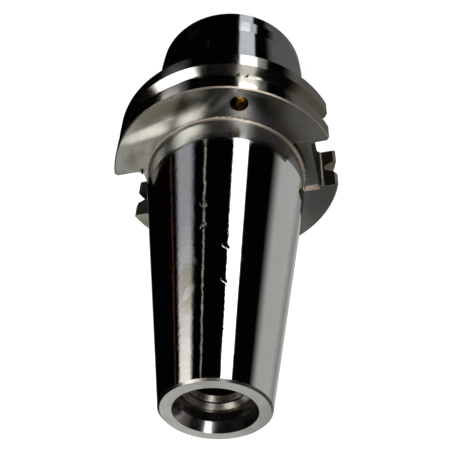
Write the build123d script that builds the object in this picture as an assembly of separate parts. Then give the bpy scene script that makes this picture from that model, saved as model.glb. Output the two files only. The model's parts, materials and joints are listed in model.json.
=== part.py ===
from build123d import *
import os
from math import atan2, cos, degrees, radians, sin, sqrt, tan

# Slim hydraulic expansion chuck. It stands on the end of its hollow shank with the nose up.
# Origin: centre of the shank's end face. +Z runs to the nose. +X runs through the shallow drive slot.
# All sizes are in millimetres.

# Hollow taper shank
SHANK_LENGTH = 36.2
GAUGE_D = 48.0
SHANK_TAPER = 1 / 10
LEAD_IN = 5.5
LAND_LENGTH = 5.0
LEAD_DROP = 0.35
END_CHAMFER = 0.8
RELIEF_DEPTH = 0.55
RELIEF_WIDTH = 1.2
RELIEF_FACE_DEPTH = 0.25
RELIEF_FACE_WIDTH = 0.7
HOLLOW_MOUTH_D = 34.0
HOLLOW_GRIP_D = 37.8
HOLLOW_FLOOR_D = 32.0
HOLLOW_DEPTH = 26.5
GRIP_SHOULDER = 7.0
GRIP_ANGLE = 30.0
HOLLOW_ROUND_START = 20.0
MOUTH_CHAMFER = 1.0

# Flange with its gripper groove and drive slots
FLANGE_D = 63.0
FLANGE_THICKNESS = 15.4
FLANGE_REAR_CHAMFER = 0.6
FLANGE_FRONT_CHAMFER = 0.35
FRONT_RIDGE = 4.7
GROOVE_WIDTH = 5.6
GROOVE_DEPTH = 3.5
GROOVE_HALF_ANGLE = 30.0
SLOT_WIDTH = 16.1
SHALLOW_SLOT_BOTTOM = 25.0
DEEP_SLOT_BOTTOM = 22.5
SLOT_CORNER = 1.5
SLOT_BREAK = 1.0

# Slim body in front of the flange
BODY_LENGTH = 73.0
ROOT_D = 43.0
ROOT_FILLET = 0.8
ROOT_CYLINDER = 7.5
NOSE_D = 24.8
NOSE_CHAMFER = 0.45

# Nose counterbore, clamping sleeve and its bore
MOUTH_D = 18.8
MOUTH_DEPTH = 2.2
SLEEVE_D = 16.4
SLEEVE_CLEARANCE = 0.02
SLEEVE_RECESS = 4.9
SLEEVE_LENGTH = 61.7
CLAMP_D = 12.0
SLEEVE_OUTER_CHAMFER = 0.3
SLEEVE_MOUTH_D = 15.3
SLEEVE_STEP_D = 13.4
SLEEVE_STEP = 0.4
SLEEVE_LEAD_ANGLE = 30.0
SLEEVE_RELIEF_D = 13.0
SLEEVE_RELIEF_LENGTH = 10.2
CHAMBER_D = 14.6
FRONT_COLLAR = 6.1
MIDDLE_COLLAR = 5.0
REAR_COLLAR = 6.0
OIL_RING_START = 2.0
OIL_RING_WIDTH = 5.0
OIL_RING_D = 15.0
LINK_WIDTH = 2.2
RUNNING_CLEARANCE = 0.05

# Length stop screw behind the sleeve
STOP_THREAD_D = 10.0
STOP_BORE_FLOOR = 40.0
STOP_START = 43.5
STOP_LENGTH = 24.0
STOP_SOCKET = 5.0
STOP_SOCKET_DEPTH = 5.0
STOP_HOLE_D = 3.2
STOP_CHAMFER = 0.7
STOP_SEAL_PLACE = 2.2
STOP_SEAL_WIDTH = 1.8
STOP_SEAL_GROOVE_D = 7.8

# Coolant tube, its nut and its two seals
NUT_THREAD_D = 18.0
NUT_START = 27.0
NUT_LENGTH = 7.9
NUT_BORE_D = 12.7
NUT_SEAL_BORE_D = 16.2
NUT_SEAL_DEPTH = 2.1
NUT_SLOT_WIDTH = 3.0
NUT_SLOT_DEPTH = 2.4
NUT_SLOTS = 4
NUT_SLOT_TURN = 45.0
TUBE_D = 12.0
TUBE_BORE_D = 8.0
TUBE_START = 5.0
TUBE_NECK_START = 25.6
TUBE_NECK_D = 11.2
TUBE_COLLAR_D = 15.8
TUBE_COLLAR = 2.7
TUBE_CHAMFER = 0.8
TUBE_FLOAT = 0.2
SEAL_SECTION = 1.8
INNER_SEAL_D = 12.6
INNER_SEAL_GAP = 0.15
SEAL_CLEARANCE = 0.05

# Pressure screw and piston, in a bore along a chord of the body's thick end
PRESSURE_BORE_D = 7.0
PRESSURE_WALL = 1.5
PRESSURE_HEIGHT = 6.9
PRESSURE_BORE_END = 6.2
PISTON_START = 1.0
PISTON_LENGTH = 4.5
PISTON_GROOVE_PLACE = 1.1
PISTON_GROOVE_WIDTH = 2.2
PISTON_GROOVE_D = 5.0
PISTON_SEAL_WIDTH = 1.5
SCREW_LENGTH = 7.5
SCREW_SOCKET = 4.0
SCREW_SOCKET_DEPTH = 4.2
SCREW_CHAMFER = 0.5
CROSS_DUCT_D = 1.8
CROSS_DUCT_RISE = 2.4
CROSS_DUCT_INSET = 1.2
DUCT_PLUG_D = 3.4
DUCT_PLUG_LENGTH = 2.1
DUCT_PLUG_RECESS = 0.3
DUCT_PLUG_DIMPLE = 0.7

# Filling port in the flange's front face
PORT_SHARE = 0.48
PORT_OUTWARD = 0.1
PORT_ANGLE = 69.0
PORT_DUCT_D = 1.5
PORT_DUCT_INSET = 0.6
PORT_SEAT_DEPTH = 0.7
BALL_SHARE = 0.42
PLUG_LENGTH = 1.3
PLUG_DOME = 0.35
PLUG_SOCKET_SHARE = 0.42
PLUG_SOCKET_DEPTH = 0.9

# How far a cutter runs past the surface
BEYOND = 5.0

# Worked out from the sizes above
ROOT_R = ROOT_D / 2
FLANGE_R = FLANGE_D / 2
GROOVE_BOTTOM_R = FLANGE_R - GROOVE_DEPTH
CONTACT_Z = SHANK_LENGTH
FRONT_Z = CONTACT_Z + FLANGE_THICKNESS
NOSE_Z = FRONT_Z + BODY_LENGTH
CONE_Z = FRONT_Z + ROOT_CYLINDER
SLEEVE_TOP = NOSE_Z - SLEEVE_RECESS
SLEEVE_BOTTOM = SLEEVE_TOP - SLEEVE_LENGTH
STOP_R = STOP_THREAD_D / 2
COLLAR_START = NUT_START + NUT_LENGTH + TUBE_FLOAT
COLLAR_END = COLLAR_START + TUBE_COLLAR
PORT_D = PORT_SHARE * (FLANGE_R - ROOT_R)
PORT_DEPTH = PORT_D
PORT_RADIUS = (ROOT_R + FLANGE_R) / 2 + PORT_OUTWARD
BALL_D = BALL_SHARE * PORT_D
PLUG_SOCKET = PLUG_SOCKET_SHARE * PORT_D
PRESSURE_Y = -(SLEEVE_D + PRESSURE_BORE_D) / 2 - PRESSURE_WALL
PRESSURE_Z = FRONT_Z + PRESSURE_HEIGHT
CROSS_Z = PRESSURE_Z + CROSS_DUCT_RISE
CROSS_ANGLE = degrees(atan2(PRESSURE_Y, CROSS_DUCT_INSET - PRESSURE_BORE_END))


def ring_section(points):
    """Solid turned about Z from a closed outline of (radius, height) points."""
    return revolve(make_face(Plane.XZ * Polyline(*points, close=True)), Axis.Z)


def rod(radius, start, end):
    """Round bar between two points."""
    run = Vector(*end) - Vector(*start)
    return extrude(Plane(origin=start, z_dir=run) * Circle(radius), run.length)


def hex_socket(across_flats, depth, top):
    """Hexagonal socket that opens upward at the given height."""
    profile = RegularPolygon(across_flats / 2, 6, major_radius=False)
    return Pos(0, 0, top - depth) * extrude(profile, depth + BEYOND)


def polar(radius, angle, height):
    """Point at a radius and an angle in degrees about Z."""
    return (radius * cos(radians(angle)), radius * sin(radians(angle)), height)


def body_radius(height):
    """Outer radius of the slim body at a height in front of the flange."""
    share = max(0.0, height - CONE_Z) / (NOSE_Z - CONE_Z)
    return ROOT_R + share * (NOSE_D / 2 - ROOT_R)


def shank_outline():
    """Outside of the shank and the corner relief, from the shank's end up to the contact face."""
    gauge_r = GAUGE_D / 2
    land_end = LEAD_IN + LAND_LENGTH
    slope = SHANK_TAPER / 2
    land_r = gauge_r - slope * (CONTACT_Z - land_end)
    lead_r = land_r - LEAD_DROP
    relief_r = gauge_r - RELIEF_DEPTH
    return [
        (lead_r - END_CHAMFER, 0),
        (lead_r, END_CHAMFER),
        (land_r, LEAD_IN),
        (land_r, land_end),
        (gauge_r - slope * RELIEF_WIDTH, CONTACT_Z - RELIEF_WIDTH),
        (relief_r, CONTACT_Z - RELIEF_WIDTH + RELIEF_DEPTH),
        (relief_r, CONTACT_Z + RELIEF_FACE_DEPTH),
        (gauge_r + RELIEF_FACE_WIDTH - RELIEF_FACE_DEPTH, CONTACT_Z + RELIEF_FACE_DEPTH),
        (gauge_r + RELIEF_FACE_WIDTH, CONTACT_Z),
    ]


def flange_outline():
    """Outside of the flange with its V groove, from the contact face to the front face."""
    flank = GROOVE_DEPTH * tan(radians(GROOVE_HALF_ANGLE))
    groove_front = FRONT_Z - FRONT_RIDGE
    groove_rear = groove_front - GROOVE_WIDTH
    return [
        (FLANGE_R - FLANGE_REAR_CHAMFER, CONTACT_Z),
        (FLANGE_R, CONTACT_Z + FLANGE_REAR_CHAMFER),
        (FLANGE_R, groove_rear),
        (GROOVE_BOTTOM_R, groove_rear + flank),
        (GROOVE_BOTTOM_R, groove_front - flank),
        (FLANGE_R, groove_front),
        (FLANGE_R, FRONT_Z - FLANGE_FRONT_CHAMFER),
        (FLANGE_R - FLANGE_FRONT_CHAMFER, FRONT_Z),
    ]


def slim_outline():
    """Outside of the slim body, from the flange to the nose."""
    return [
        (ROOT_R, FRONT_Z),
        (ROOT_R, CONE_Z),
        (body_radius(NOSE_Z - NOSE_CHAMFER), NOSE_Z - NOSE_CHAMFER),
        (NOSE_D / 2 - NOSE_CHAMFER, NOSE_Z),
    ]


def bore_outline():
    """Inside of the body, from the nose down to the end of the shank."""
    sleeve_bore = SLEEVE_D / 2 + SLEEVE_CLEARANCE
    grip_run = (HOLLOW_GRIP_D - HOLLOW_MOUTH_D) / 2 / tan(radians(GRIP_ANGLE))
    return [
        (MOUTH_D / 2, NOSE_Z),
        (sleeve_bore, NOSE_Z - MOUTH_DEPTH),
        (sleeve_bore, SLEEVE_BOTTOM),
        (STOP_R + STOP_CHAMFER, SLEEVE_BOTTOM),
        (STOP_R, SLEEVE_BOTTOM - STOP_CHAMFER),
        (STOP_R, STOP_BORE_FLOOR),
        (NUT_THREAD_D / 2, STOP_BORE_FLOOR),
        (NUT_THREAD_D / 2, HOLLOW_DEPTH + STOP_CHAMFER),
        (NUT_THREAD_D / 2 + STOP_CHAMFER, HOLLOW_DEPTH),
        (HOLLOW_FLOOR_D / 2, HOLLOW_DEPTH),
        (HOLLOW_GRIP_D / 2, HOLLOW_ROUND_START),
        (HOLLOW_GRIP_D / 2, GRIP_SHOULDER + grip_run),
        (HOLLOW_MOUTH_D / 2, GRIP_SHOULDER),
        (HOLLOW_MOUTH_D / 2, MOUTH_CHAMFER),
        (HOLLOW_MOUTH_D / 2 + MOUTH_CHAMFER, 0),
    ]


def turned_body():
    """The body before its slots, port and ducts are cut."""
    outline = shank_outline() + flange_outline() + slim_outline() + bore_outline()
    section = make_face(Plane.XZ * Polyline(*outline, close=True))
    root = section.vertices().sort_by_distance((ROOT_R, 0, FRONT_Z))[0]
    return revolve(fillet(root, ROOT_FILLET), Axis.Z)


def drive_slot(bottom):
    """Cutter for one drive slot on the +X side, with its walls broken at both faces and at the rim."""
    depth = FLANGE_R + BEYOND - bottom
    half = SLOT_WIDTH / 2
    plan = Pos(bottom + depth / 2, 0) * RectangleRounded(depth, SLOT_WIDTH, SLOT_CORNER)
    rim_x = sqrt(FLANGE_R ** 2 - half ** 2) - SLOT_BREAK
    far_x = bottom + depth
    far_half = half + far_x - rim_x
    rim = Polyline((rim_x, -half), (rim_x, half), (far_x, far_half), (far_x, -far_half), close=True)
    slot = Pos(0, 0, CONTACT_Z) * extrude(plan + make_face(rim), FLANGE_THICKNESS + BEYOND)
    for face_z, inward in ((CONTACT_Z, 1), (FRONT_Z, -1)):
        wedge = Polyline(
            (-half - SLOT_BREAK, face_z),
            (half + SLOT_BREAK, face_z),
            (half, face_z + inward * SLOT_BREAK),
            (-half, face_z + inward * SLOT_BREAK),
            close=True,
        )
        slot += Pos(bottom, 0, 0) * extrude(make_face(Plane.YZ * wedge), depth)
    return slot


def pressure_cuts():
    """Pressure bore, the duct that crosses it and the hole of the duct's plug."""
    bore_end = (-PRESSURE_BORE_END, PRESSURE_Y, PRESSURE_Z)
    bore = rod(PRESSURE_BORE_D / 2, bore_end, (ROOT_D, PRESSURE_Y, PRESSURE_Z))
    surface = body_radius(CROSS_Z)
    plug_floor = polar(surface - DUCT_PLUG_RECESS - DUCT_PLUG_LENGTH, CROSS_ANGLE, CROSS_Z)
    duct = rod(CROSS_DUCT_D / 2, polar(OIL_RING_D / 2, CROSS_ANGLE, CROSS_Z), plug_floor)
    seat = rod(DUCT_PLUG_D / 2, plug_floor, polar(surface + BEYOND, CROSS_ANGLE, CROSS_Z))
    return bore + duct + seat


def port_cuts():
    """Filling port in the flange's front face, with its ball seat and its duct to the sleeve."""
    floor = FRONT_Z - PORT_DEPTH
    top = polar(PORT_RADIUS, PORT_ANGLE, FRONT_Z + BEYOND)
    port = rod(PORT_D / 2, polar(PORT_RADIUS, PORT_ANGLE, floor), top)
    seat = Cone(PORT_DUCT_D / 2, BALL_D / 2, PORT_SEAT_DEPTH)
    seat = Pos(*polar(PORT_RADIUS, PORT_ANGLE, floor - PORT_SEAT_DEPTH / 2)) * seat
    ring_middle = SLEEVE_BOTTOM + OIL_RING_START + OIL_RING_WIDTH / 2
    start = polar(PORT_RADIUS - PORT_DUCT_INSET, PORT_ANGLE, floor - PORT_SEAT_DEPTH)
    duct = rod(PORT_DUCT_D / 2, start, polar(OIL_RING_D / 2, PORT_ANGLE, ring_middle))
    return port + seat + duct


def chuck_body():
    """Shank, flange and slim body, turned and milled from one piece."""
    body = turned_body()
    body -= drive_slot(SHALLOW_SLOT_BOTTOM)
    body -= Rot(0, 0, 180) * drive_slot(DEEP_SLOT_BOTTOM)
    body -= pressure_cuts()
    body -= port_cuts()
    return body


def expansion_sleeve():
    """Thin-walled sleeve that the oil presses onto the tool shank. Its collars are brazed in the body."""
    outer = SLEEVE_D / 2
    ring_start = SLEEVE_BOTTOM + OIL_RING_START
    ring_end = ring_start + OIL_RING_WIDTH
    rear_start = ring_end + REAR_COLLAR
    front_end = SLEEVE_TOP - FRONT_COLLAR
    chamber = (front_end - rear_start - MIDDLE_COLLAR) / 2
    front_start = front_end - chamber
    clamp_start = SLEEVE_BOTTOM + SLEEVE_RELIEF_LENGTH
    step_top = SLEEVE_TOP - (SLEEVE_MOUTH_D - SLEEVE_STEP_D) / 2
    lead_in = (SLEEVE_STEP_D - CLAMP_D) / 2 / tan(radians(SLEEVE_LEAD_ANGLE))
    outline = [
        (SLEEVE_RELIEF_D / 2, SLEEVE_BOTTOM),
        (outer, SLEEVE_BOTTOM),
        (outer, ring_start),
        (OIL_RING_D / 2, ring_start),
        (OIL_RING_D / 2, ring_end),
        (outer, ring_end),
        (outer, rear_start),
        (CHAMBER_D / 2, rear_start),
        (CHAMBER_D / 2, rear_start + chamber),
        (outer, rear_start + chamber),
        (outer, front_start),
        (CHAMBER_D / 2, front_start),
        (CHAMBER_D / 2, front_end),
        (outer, front_end),
        (outer, SLEEVE_TOP - SLEEVE_OUTER_CHAMFER),
        (outer - SLEEVE_OUTER_CHAMFER, SLEEVE_TOP),
        (SLEEVE_MOUTH_D / 2, SLEEVE_TOP),
        (SLEEVE_STEP_D / 2, step_top),
        (SLEEVE_STEP_D / 2, step_top - SLEEVE_STEP),
        (CLAMP_D / 2, step_top - SLEEVE_STEP - lead_in),
        (CLAMP_D / 2, clamp_start),
        (SLEEVE_RELIEF_D / 2, clamp_start - (SLEEVE_RELIEF_D - CLAMP_D) / 2),
    ]
    sleeve = ring_section(outline)
    link_length = front_start - ring_start + chamber / 2
    link_depth = outer - OIL_RING_D / 2
    for side in (-1, 1):
        place = Pos(side * (outer - link_depth / 2), 0, ring_start + link_length / 2)
        sleeve -= place * Box(link_depth, LINK_WIDTH, link_length)
    return sleeve


def along_bore(shape):
    """Turns a shape made upward from the origin to point out of the pressure bore's mouth."""
    return Pos(0, PRESSURE_Y, PRESSURE_Z) * Rot(0, 90, 0) * shape


def pressure_screw():
    """Socket screw that drives the piston."""
    radius = PRESSURE_BORE_D / 2 - RUNNING_CLEARANCE
    start = PISTON_START + PISTON_LENGTH
    screw = extrude(Pos(0, 0, start) * Circle(radius), SCREW_LENGTH)
    screw = chamfer(screw.edges().filter_by(GeomType.CIRCLE), SCREW_CHAMFER)
    return along_bore(screw - hex_socket(SCREW_SOCKET, SCREW_SOCKET_DEPTH, start + SCREW_LENGTH))


def pressure_piston():
    """Piston that presses the oil, with a groove for its seal and backup ring."""
    radius = PRESSURE_BORE_D / 2 - RUNNING_CLEARANCE
    groove = PISTON_START + PISTON_GROOVE_PLACE
    outline = [
        (0, PISTON_START),
        (radius, PISTON_START),
        (radius, groove),
        (PISTON_GROOVE_D / 2, groove),
        (PISTON_GROOVE_D / 2, groove + PISTON_GROOVE_WIDTH),
        (radius, groove + PISTON_GROOVE_WIDTH),
        (radius, PISTON_START + PISTON_LENGTH),
        (0, PISTON_START + PISTON_LENGTH),
    ]
    return along_bore(ring_section(outline))


def piston_ring(start, width):
    """Ring that fills the piston's groove over a width."""
    inner = PISTON_GROOVE_D / 2 + SEAL_CLEARANCE
    outer = PRESSURE_BORE_D / 2 - RUNNING_CLEARANCE / 2
    return along_bore(extrude(Pos(0, 0, start) * (Circle(outer) - Circle(inner)), width))


def piston_seal():
    """Rubber seal at the oil side of the piston's groove."""
    return piston_ring(PISTON_START + PISTON_GROOVE_PLACE, PISTON_SEAL_WIDTH)


def piston_backup_ring():
    """Hard ring that keeps the seal from creeping into the clearance."""
    width = PISTON_GROOVE_WIDTH - PISTON_SEAL_WIDTH
    return piston_ring(PISTON_START + PISTON_GROOVE_PLACE + PISTON_SEAL_WIDTH, width)


def duct_plug():
    """Expander plug that closes the drilled cross duct, with the dimple of its setting punch."""
    top = body_radius(CROSS_Z) - DUCT_PLUG_RECESS
    radius = DUCT_PLUG_D / 2 - SLEEVE_CLEARANCE
    end = polar(top, CROSS_ANGLE, CROSS_Z)
    plug = rod(radius, polar(top - DUCT_PLUG_LENGTH, CROSS_ANGLE, CROSS_Z), end)
    return plug - Pos(*end) * Sphere(DUCT_PLUG_DIMPLE)


def fill_ball():
    """Steel ball that seals the filling duct."""
    height = FRONT_Z - PORT_DEPTH - PORT_SEAT_DEPTH + BALL_D / 2 + SEAL_CLEARANCE
    return Pos(*polar(PORT_RADIUS, PORT_ANGLE, height)) * Sphere(BALL_D / 2)


def fill_plug():
    """Brass socket plug that holds the ball down, with a low domed head."""
    floor = FRONT_Z - PORT_DEPTH - PORT_SEAT_DEPTH + BALL_D + 2 * SEAL_CLEARANCE
    radius = PORT_D / 2 - RUNNING_CLEARANCE
    barrel = extrude(Circle(radius), PLUG_LENGTH)
    top = PLUG_LENGTH + PLUG_DOME
    dome_r = (radius ** 2 + PLUG_DOME ** 2) / (2 * PLUG_DOME)
    cap = Pos(0, 0, PLUG_LENGTH) * extrude(Circle(radius), PLUG_DOME)
    cap &= Pos(0, 0, top - dome_r) * Sphere(dome_r)
    plug = barrel + cap - hex_socket(PLUG_SOCKET, PLUG_SOCKET_DEPTH, top)
    return Pos(*polar(PORT_RADIUS, PORT_ANGLE, floor)) * plug


def length_stop_screw():
    """Hollow screw that sets how far the tool goes in, with a socket at each end."""
    radius = STOP_R - RUNNING_CLEARANCE
    top = STOP_START + STOP_LENGTH
    seal = STOP_START + STOP_SEAL_PLACE
    outline = [
        (STOP_HOLE_D / 2, STOP_START),
        (radius - STOP_CHAMFER, STOP_START),
        (radius, STOP_START + STOP_CHAMFER),
        (radius, seal),
        (STOP_SEAL_GROOVE_D / 2, seal),
        (STOP_SEAL_GROOVE_D / 2, seal + STOP_SEAL_WIDTH),
        (radius, seal + STOP_SEAL_WIDTH),
        (radius, top - STOP_CHAMFER),
        (radius - STOP_CHAMFER, top),
        (STOP_HOLE_D / 2, top),
    ]
    screw = ring_section(outline) - hex_socket(STOP_SOCKET, STOP_SOCKET_DEPTH, top)
    lower = Pos(0, 0, 2 * STOP_START) * Rot(180, 0, 0)
    return screw - lower * hex_socket(STOP_SOCKET, STOP_SOCKET_DEPTH, STOP_START)


def stop_screw_seal():
    """Seal ring in the stop screw's groove, which keeps coolant out of the clamping bore's thread."""
    start = STOP_START + STOP_SEAL_PLACE + SEAL_CLEARANCE
    inner = STOP_SEAL_GROOVE_D / 2 + SEAL_CLEARANCE
    outer = STOP_R - RUNNING_CLEARANCE / 2
    ring = Circle(outer) - Circle(inner)
    return extrude(Pos(0, 0, start) * ring, STOP_SEAL_WIDTH - 2 * SEAL_CLEARANCE)


def coolant_tube():
    """Tube that brings coolant from the spindle. Its collar floats between the nut and the thread's floor."""
    outline = [
        (TUBE_BORE_D / 2, TUBE_START),
        (TUBE_D / 2 - TUBE_CHAMFER, TUBE_START),
        (TUBE_D / 2, TUBE_START + TUBE_CHAMFER),
        (TUBE_D / 2, TUBE_NECK_START),
        (TUBE_NECK_D / 2, TUBE_NECK_START + TUBE_D / 2 - TUBE_NECK_D / 2),
        (TUBE_NECK_D / 2, COLLAR_START),
        (TUBE_COLLAR_D / 2, COLLAR_START),
        (TUBE_COLLAR_D / 2, COLLAR_END),
        (TUBE_BORE_D / 2, COLLAR_END),
    ]
    return ring_section(outline)


def coolant_nut():
    """Ring nut that holds the coolant tube's collar, with slots for its spanner."""
    outer = NUT_THREAD_D / 2 - RUNNING_CLEARANCE
    top = NUT_START + NUT_LENGTH
    outline = [
        (NUT_BORE_D / 2, NUT_START),
        (outer - STOP_CHAMFER, NUT_START),
        (outer, NUT_START + STOP_CHAMFER),
        (outer, top),
        (NUT_SEAL_BORE_D / 2, top),
        (NUT_SEAL_BORE_D / 2, top - NUT_SEAL_DEPTH),
        (NUT_BORE_D / 2, top - NUT_SEAL_DEPTH),
    ]
    nut = ring_section(outline)
    for index in range(NUT_SLOTS):
        slot = Pos(outer, 0, NUT_START + NUT_SLOT_DEPTH / 2) * Box(outer, NUT_SLOT_WIDTH, NUT_SLOT_DEPTH)
        nut -= Rot(0, 0, NUT_SLOT_TURN + index * 360 / NUT_SLOTS) * slot
    return nut


def tube_seal_outer():
    """Seal ring between the nut and the coolant tube's collar."""
    radius = TUBE_NECK_D / 2 + SEAL_CLEARANCE + SEAL_SECTION / 2
    height = COLLAR_START - SEAL_CLEARANCE - SEAL_SECTION / 2
    return Pos(0, 0, height) * Torus(radius, SEAL_SECTION / 2)


def tube_seal_inner():
    """Seal ring between the coolant tube's collar and the floor of its thread."""
    height = COLLAR_END + INNER_SEAL_GAP + SEAL_SECTION / 2
    return Pos(0, 0, height) * Torus(INNER_SEAL_D / 2, SEAL_SECTION / 2)


NODES = (
    chuck_body,
    expansion_sleeve,
    pressure_screw,
    pressure_piston,
    piston_seal,
    piston_backup_ring,
    duct_plug,
    fill_ball,
    fill_plug,
    length_stop_screw,
    stop_screw_seal,
    coolant_tube,
    coolant_nut,
    tube_seal_outer,
    tube_seal_inner,
)

os.makedirs("parts", exist_ok=True)
for node in NODES:
    export_step(node(), f"parts/{node.__name__}.step")
    print("wrote", node.__name__)
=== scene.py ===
"""Slim hydraulic expansion chuck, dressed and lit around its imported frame."""

import json
import logging
import math
from dataclasses import dataclass, field
from enum import Enum

import bpy
from mathutils import Matrix, Vector

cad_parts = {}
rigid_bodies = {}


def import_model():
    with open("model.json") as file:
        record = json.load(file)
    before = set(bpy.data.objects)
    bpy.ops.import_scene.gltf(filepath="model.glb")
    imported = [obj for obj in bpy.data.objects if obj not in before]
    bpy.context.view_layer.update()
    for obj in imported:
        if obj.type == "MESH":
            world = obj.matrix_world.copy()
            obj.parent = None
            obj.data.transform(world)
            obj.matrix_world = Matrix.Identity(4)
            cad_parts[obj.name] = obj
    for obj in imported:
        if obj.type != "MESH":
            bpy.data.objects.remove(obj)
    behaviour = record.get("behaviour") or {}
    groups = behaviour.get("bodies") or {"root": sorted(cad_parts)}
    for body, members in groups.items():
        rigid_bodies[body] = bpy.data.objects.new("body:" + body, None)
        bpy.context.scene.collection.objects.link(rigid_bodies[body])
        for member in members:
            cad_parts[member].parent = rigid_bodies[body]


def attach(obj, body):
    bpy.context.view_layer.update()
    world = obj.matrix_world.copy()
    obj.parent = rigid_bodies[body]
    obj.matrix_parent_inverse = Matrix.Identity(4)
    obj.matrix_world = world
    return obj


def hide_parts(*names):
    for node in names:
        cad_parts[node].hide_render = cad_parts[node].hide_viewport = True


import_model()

log = logging.getLogger("chuck")

Color = tuple[float, float, float]
Place = tuple[float, float, float]
Ring = list[Vector]
Socket = bpy.types.NodeSocket

MM = 0.001
LEVEL_PART = (1.0, 1.0, 0.0)
# Shares of a finish's roughness: the same all over, and varied by its fine marks.
PLAIN_SHARE = 0.75
STREAK_SHARE = 0.5
# Radii, in millimetres, of the drum that fine marks are laid out on and of the ring that closes a piece.
MARK_DRUM_R = 20.0
TIP_R = 0.01
# Degrees above the horizon past which a card has no end.
ZENITH = 90.0


class Graph:
    """Short calls for the node tree of a material or of the surround."""

    def __init__(self, tree: bpy.types.NodeTree) -> None:
        """Starts on an emptied tree.

        Args:
            tree: the tree to fill.
        """
        tree.nodes.clear()
        self.tree = tree

    def node(self, kind: str, **settings: object) -> bpy.types.Node:
        """Adds a node.

        Args:
            kind: the node's type, without its first word.
            settings: attributes to set on it.

        Returns:
            The new node.
        """
        made = self.tree.nodes.new("ShaderNode" + kind)
        for name, value in settings.items():
            setattr(made, name, value)
        return made

    def feed(self, target: Socket, value: object) -> None:
        """Links a socket to an input, or writes a plain value into it.

        Args:
            target: the input.
            value: a socket, a number, a vector or a colour.
        """
        if isinstance(value, Socket):
            self.tree.links.new(value, target)
        else:
            target.default_value = value

    def math(self, operation: str, first: object, second: object = 0.0) -> Socket:
        """Works out one step of arithmetic.

        Args:
            operation: the name of the step.
            first: a socket or a number.
            second: a socket or a number.

        Returns:
            The socket of the result.
        """
        made = self.node("Math", operation=operation)
        self.feed(made.inputs[0], first)
        self.feed(made.inputs[1], second)
        return made.outputs[0]

    def vector(self, operation: str, first: object, second: object = (0.0, 0.0, 0.0)) -> bpy.types.Node:
        """Works out one step on vectors.

        Args:
            operation: the name of the step.
            first: a socket or a vector.
            second: a socket or a vector.

        Returns:
            The node, whose outputs are the vector and the value.
        """
        made = self.node("VectorMath", operation=operation)
        self.feed(made.inputs[0], first)
        self.feed(made.inputs[1], second)
        return made

    def scaled(self, place: object, factor: object) -> Socket:
        """Multiplies a vector by a number.

        Args:
            place: a socket or a vector.
            factor: a socket or a number.

        Returns:
            The socket of the longer or shorter vector.
        """
        made = self.node("VectorMath", operation="SCALE")
        self.feed(made.inputs[0], place)
        self.feed(made.inputs["Scale"], factor)
        return made.outputs[0]

    def height(self, place: object) -> Socket:
        """Height of a place.

        Args:
            place: a socket or a vector.

        Returns:
            The socket of its third coordinate.
        """
        split = self.node("SeparateXYZ")
        self.feed(split.inputs[0], place)
        return split.outputs[2]

    def fade(self, value: object, start: float, end: float, low: float = 0.0, high: float = 1.0) -> Socket:
        """Steps smoothly from one level to another.

        Args:
            value: the socket that drives the step.
            start: where it starts.
            end: where it ends, on either side of the start.
            low: the level before the start.
            high: the level after the end.

        Returns:
            The socket of the level.
        """
        made = self.node("MapRange", interpolation_type="SMOOTHSTEP")
        if start > end:
            start, end, low, high = end, start, high, low
        for index, number in enumerate((start, end, low, high), 1):
            made.inputs[index].default_value = number
        self.feed(made.inputs[0], value)
        return made.outputs[0]

    def noise(self, place: object, scale: float, detail: float = 2.0, roughness: float = 0.5) -> Socket:
        """Noise from 0 to 1.

        Args:
            place: where it is read.
            scale: grains per unit of the place.
            detail: how many finer layers it has.
            roughness: how strong they are.

        Returns:
            The socket of the noise.
        """
        made = self.node("TexNoise")
        inputs = {"Vector": place, "Scale": scale, "Detail": detail, "Roughness": roughness}
        for name, value in inputs.items():
            self.feed(made.inputs[name], value)
        return made.outputs["Fac"]

    def blend(self, share: object, first: object, second: object) -> Socket:
        """Mixes two colours.

        Args:
            share: how much of the second, from 0 to 1.
            first: a socket or a colour.
            second: a socket or a colour.

        Returns:
            The socket of the mixed colour.
        """
        made = self.node("Mix", data_type="RGBA")
        self.feed(made.inputs["Factor"], share)
        for index, value in ((6, first), (7, second)):
            self.feed(made.inputs[index], (*value, 1.0) if isinstance(value, tuple) else value)
        return made.outputs[2]

    def bump(self, height: Socket, depth: float, below: Socket | None = None) -> Socket:
        """Normal of a relief.

        Args:
            height: the relief, from 0 to 1.
            depth: how deep it is, in millimetres.
            below: the normal of a slower relief under it.

        Returns:
            The socket of the normal.
        """
        made = self.node("Bump")
        made.inputs["Strength"].default_value = 1.0
        made.inputs["Distance"].default_value = depth * MM
        self.feed(made.inputs["Height"], height)
        if below is not None:
            self.feed(made.inputs["Normal"], below)
        return made.outputs["Normal"]


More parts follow.
